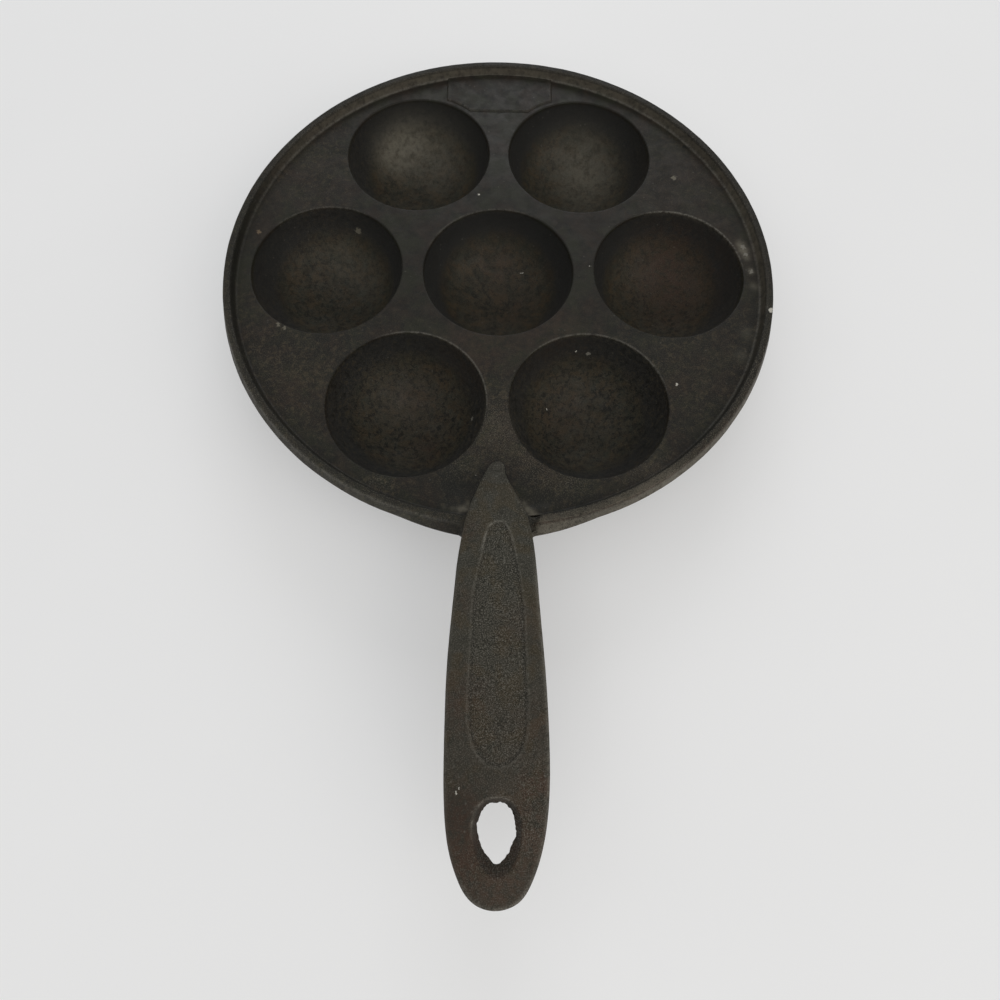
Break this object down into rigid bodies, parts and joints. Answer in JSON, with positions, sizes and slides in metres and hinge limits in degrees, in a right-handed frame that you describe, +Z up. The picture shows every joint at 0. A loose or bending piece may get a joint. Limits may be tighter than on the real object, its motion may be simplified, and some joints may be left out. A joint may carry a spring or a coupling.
{
  "type": "aebleskiver pan",
  "caption": "Round cast-iron pan with hemispherical cups in a flat rimmed deck, for filled ball pancakes, with one flat tapered handle that has a hanging hole.",
  "frame": {"origin": "on the surface that the pan stands on, under the middle of the centre cup", "axes": "+Z up out of the cups, the handle points along -Y, +X to the right seen from the handle's end"},
  "size_m": [0.2116, 0.3241, 0.0408],
  "materials": {
    "seasoned_iron": "seasoned, dark brown-black, dull, with rust in the pores and worn edges"
  },
  "bodies": {
    "root": {"cup_centre": "seasoned_iron", "cup_right": "seasoned_iron", "cup_back_right": "seasoned_iron", "cup_back_left": "seasoned_iron", "cup_left": "seasoned_iron", "cup_front_left": "seasoned_iron", "cup_front_right": "seasoned_iron", "deck": "seasoned_iron", "rim": "seasoned_iron", "plaque": "seasoned_iron", "handle_root": "seasoned_iron", "handle": "seasoned_iron"}
  },
  "joints": []
}
